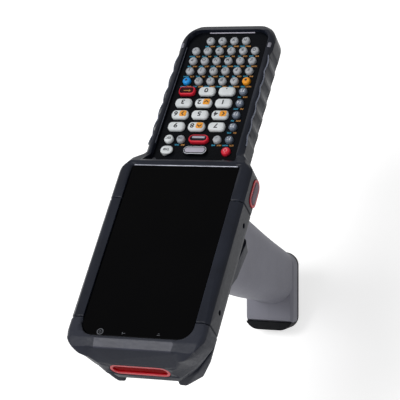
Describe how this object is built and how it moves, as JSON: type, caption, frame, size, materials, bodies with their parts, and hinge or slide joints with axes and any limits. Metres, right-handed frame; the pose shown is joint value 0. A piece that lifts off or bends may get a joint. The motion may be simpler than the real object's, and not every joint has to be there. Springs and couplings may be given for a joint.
{
  "type": "handheld data terminal",
  "caption": "Rugged handheld data terminal with a large touch screen, a long letter and number keypad, side scan buttons, a red scan window and a pistol grip with a trigger.",
  "frame": {"origin": "middle of the display glass's outer face", "axes": "+Z out of the screen, +Y from the scan window end to the keypad end, +X across, to the right as seen from the nose with the screen up"},
  "size_m": [0.0858, 0.237, 0.1875],
  "materials": {
    "frame": "fine texture",
    "rail": "satin",
    "grip": "fine texture",
    "foot": "matt",
    "trigger": "satin",
    "screen": "gloss",
    "panel": "gloss",
    "plate": "satin",
    "mat": "matt",
    "board": "satin",
    "module": "satin",
    "steel": "satin",
    "spring": "bright",
    "contact": "gold plated",
    "bezel_red": "satin",
    "window_red": "gloss",
    "button_mauve": "matt",
    "key_grey": "matt",
    "key_white": "matt",
    "key_dark": "matt",
    "key_red": "matt",
    "key_blue": "matt",
    "key_orange": "matt"
  },
  "bodies": {
    "housing": {"nose_bumper": "frame", "keypad_frame": "frame", "side_rail_left": "rail", "side_rail_right": "rail", "rear_housing": "frame", "housing_screws": "steel", "dock_contacts": "contact", "display_glass": "screen", "display_panel": "panel", "front_camera": "panel", "scan_bezel": "bezel_red", "scan_window": "window_red", "scan_engine": "module", "main_board": "board", "key_plate": "plate", "key_mat": "mat", "keypad_board": "board", "battery_pack": "frame", "button_ring_left": "bezel_red", "button_ring_right": "bezel_red", "grip_saddle": "frame", "saddle_screws": "steel", "grip_shell_left": "grip", "grip_shell_right": "grip", "grip_screws": "steel", "grip_foot": "foot", "trigger_pin": "steel", "trigger_switch": "module"},
    "trigger": {"trigger": "trigger", "trigger_spring": "spring"},
    "latch": {"battery_latch": "frame"},
    "scan_button_right": {"side_button_right": "button_mauve"},
    "scan_button_left": {"side_button_left": "button_mauve"},
    "key_back_press": {"key_back": "key_red"},
    "key_point_press": {"key_point": "key_white"},
    "key_9_press": {"key_9": "key_white"},
    "key_8_press": {"key_8": "key_white"},
    "key_7_press": {"key_7": "key_white"},
    "key_6_press": {"key_6": "key_white"},
    "key_5_press": {"key_5": "key_white"},
    "key_4_press": {"key_4": "key_white"},
    "key_3_press": {"key_3": "key_white"},
    "key_2_press": {"key_2": "key_white"},
    "key_1_press": {"key_1": "key_white"},
    "key_0_press": {"key_0": "key_white"},
    "power_key_press": {"power_key": "key_red"},
    "scan_key_press": {"scan_key": "key_dark"},
    "enter_key_press": {"enter_key": "key_red"},
    "mark_key_lower_press": {"mark_key_lower": "key_white"},
    "mark_key_upper_press": {"mark_key_upper": "key_white"},
    "soft_keys_press": {"soft_keys": "key_grey"},
    "function_keys_press": {"function_keys": "key_grey"},
    "orange_shift_key_press": {"orange_shift_key": "key_orange"},
    "blue_shift_key_press": {"blue_shift_key": "key_blue"},
    "letter_row_5_press": {"letter_row_5": "key_grey"},
    "letter_row_4_press": {"letter_row_4": "key_grey"},
    "letter_row_3_press": {"letter_row_3": "key_grey"},
    "letter_row_2_press": {"letter_row_2": "key_grey"},
    "letter_row_1_press": {"letter_row_1": "key_grey"}
  },
  "joints": [
    {"name": "trigger_pull", "type": "hinge", "parent": "housing", "child": "trigger", "pos_m": [0, 0.0195, -0.051], "axis": [1, 0, 0], "range_deg": [0, 10], "stiffness_Nm_per_rad": 0.3, "springref_deg": -11.46},
    {"name": "latch_slide", "type": "slide", "parent": "housing", "child": "latch", "axis": [0, 1, 0], "range_m": [0, 0.003], "stiffness_N_per_m": 300, "springref_m": -0.001},
    {"name": "scan_button_right_slide", "type": "slide", "parent": "housing", "child": "scan_button_right", "axis": [-1, 0, 0], "range_m": [0, 0.0006], "stiffness_N_per_m": 400, "springref_m": -0.0005},
    {"name": "scan_button_left_slide", "type": "slide", "parent": "housing", "child": "scan_button_left", "axis": [1, 0, 0], "range_m": [0, 0.0006], "stiffness_N_per_m": 400, "springref_m": -0.0005},
    {"name": "key_back_press_slide", "type": "slide", "parent": "housing", "child": "key_back_press", "axis": [0, 0, -1], "range_m": [0, 0.0008], "stiffness_N_per_m": 400, "springref_m": -0.0005},
    {"name": "key_point_press_slide", "type": "slide", "parent": "housing", "child": "key_point_press", "axis": [0, 0, -1], "range_m": [0, 0.0008], "stiffness_N_per_m": 400, "springref_m": -0.0005},
    {"name": "key_9_press_slide", "type": "slide", "parent": "housing", "child": "key_9_press", "axis": [0, 0, -1], "range_m": [0, 0.0008], "stiffness_N_per_m": 400, "springref_m": -0.0005},
    {"name": "key_8_press_slide", "type": "slide", "parent": "housing", "child": "key_8_press", "axis": [0, 0, -1], "range_m": [0, 0.0008], "stiffness_N_per_m": 400, "springref_m": -0.0005},
    {"name": "key_7_press_slide", "type": "slide", "parent": "housing", "child": "key_7_press", "axis": [0, 0, -1], "range_m": [0, 0.0008], "stiffness_N_per_m": 400, "springref_m": -0.0005},
    {"name": "key_6_press_slide", "type": "slide", "parent": "housing", "child": "key_6_press", "axis": [0, 0, -1], "range_m": [0, 0.0008], "stiffness_N_per_m": 400, "springref_m": -0.0005},
    {"name": "key_5_press_slide", "type": "slide", "parent": "housing", "child": "key_5_press", "axis": [0, 0, -1], "range_m": [0, 0.0008], "stiffness_N_per_m": 400, "springref_m": -0.0005},
    {"name": "key_4_press_slide", "type": "slide", "parent": "housing", "child": "key_4_press", "axis": [0, 0, -1], "range_m": [0, 0.0008], "stiffness_N_per_m": 400, "springref_m": -0.0005},
    {"name": "key_3_press_slide", "type": "slide", "parent": "housing", "child": "key_3_press", "axis": [0, 0, -1], "range_m": [0, 0.0008], "stiffness_N_per_m": 400, "springref_m": -0.0005},
    {"name": "key_2_press_slide", "type": "slide", "parent": "housing", "child": "key_2_press", "axis": [0, 0, -1], "range_m": [0, 0.0008], "stiffness_N_per_m": 400, "springref_m": -0.0005},
    {"name": "key_1_press_slide", "type": "slide", "parent": "housing", "child": "key_1_press", "axis": [0, 0, -1], "range_m": [0, 0.0008], "stiffness_N_per_m": 400, "springref_m": -0.0005},
    {"name": "key_0_press_slide", "type": "slide", "parent": "housing", "child": "key_0_press", "axis": [0, 0, -1], "range_m": [0, 0.0008], "stiffness_N_per_m": 400, "springref_m": -0.0005},
    {"name": "power_key_press_slide", "type": "slide", "parent": "housing", "child": "power_key_press", "axis": [0, 0, -1], "range_m": [0, 0.0008], "stiffness_N_per_m": 400, "springref_m": -0.0005},
    {"name": "scan_key_press_slide", "type": "slide", "parent": "housing", "child": "scan_key_press", "axis": [0, 0, -1], "range_m": [0, 0.0008], "stiffness_N_per_m": 400, "springref_m": -0.0005},
    {"name": "enter_key_press_slide", "type": "slide", "parent": "housing", "child": "enter_key_press", "axis": [0, 0, -1], "range_m": [0, 0.0008], "stiffness_N_per_m": 400, "springref_m": -0.0005},
    {"name": "mark_key_lower_press_slide", "type": "slide", "parent": "housing", "child": "mark_key_lower_press", "axis": [0, 0, -1], "range_m": [0, 0.0008], "stiffness_N_per_m": 400, "springref_m": -0.0005},
    {"name": "mark_key_upper_press_slide", "type": "slide", "parent": "housing", "child": "mark_key_upper_press", "axis": [0, 0, -1], "range_m": [0, 0.0008], "stiffness_N_per_m": 400, "springref_m": -0.0005},
    {"name": "soft_keys_press_slide", "type": "slide", "parent": "housing", "child": "soft_keys_press", "axis": [0, 0, -1], "range_m": [0, 0.0008], "stiffness_N_per_m": 800, "springref_m": -0.0005},
    {"name": "function_keys_press_slide", "type": "slide", "parent": "housing", "child": "function_keys_press", "axis": [0, 0, -1], "range_m": [0, 0.0008], "stiffness_N_per_m": 2000, "springref_m": -0.0005},
    {"name": "orange_shift_key_press_slide", "type": "slide", "parent": "housing", "child": "orange_shift_key_press", "axis": [0, 0, -1], "range_m": [0, 0.0008], "stiffness_N_per_m": 400, "springref_m": -0.0005},
    {"name": "blue_shift_key_press_slide", "type": "slide", "parent": "housing", "child": "blue_shift_key_press", "axis": [0, 0, -1], "range_m": [0, 0.0008], "stiffness_N_per_m": 400, "springref_m": -0.0005},
    {"name": "letter_row_5_press_slide", "type": "slide", "parent": "housing", "child": "letter_row_5_press", "axis": [0, 0, -1], "range_m": [0, 0.0008], "stiffness_N_per_m": 1600, "springref_m": -0.0005},
    {"name": "letter_row_4_press_slide", "type": "slide", "parent": "housing", "child": "letter_row_4_press", "axis": [0, 0, -1], "range_m": [0, 0.0008], "stiffness_N_per_m": 2400, "springref_m": -0.0005},
    {"name": "letter_row_3_press_slide", "type": "slide", "parent": "housing", "child": "letter_row_3_press", "axis": [0, 0, -1], "range_m": [0, 0.0008], "stiffness_N_per_m": 2400, "springref_m": -0.0005},
    {"name": "letter_row_2_press_slide", "type": "slide", "parent": "housing", "child": "letter_row_2_press", "axis": [0, 0, -1], "range_m": [0, 0.0008], "stiffness_N_per_m": 2400, "springref_m": -0.0005},
    {"name": "letter_row_1_press_slide", "type": "slide", "parent": "housing", "child": "letter_row_1_press", "axis": [0, 0, -1], "range_m": [0, 0.0008], "stiffness_N_per_m": 1600, "springref_m": -0.0005}
  ]
}
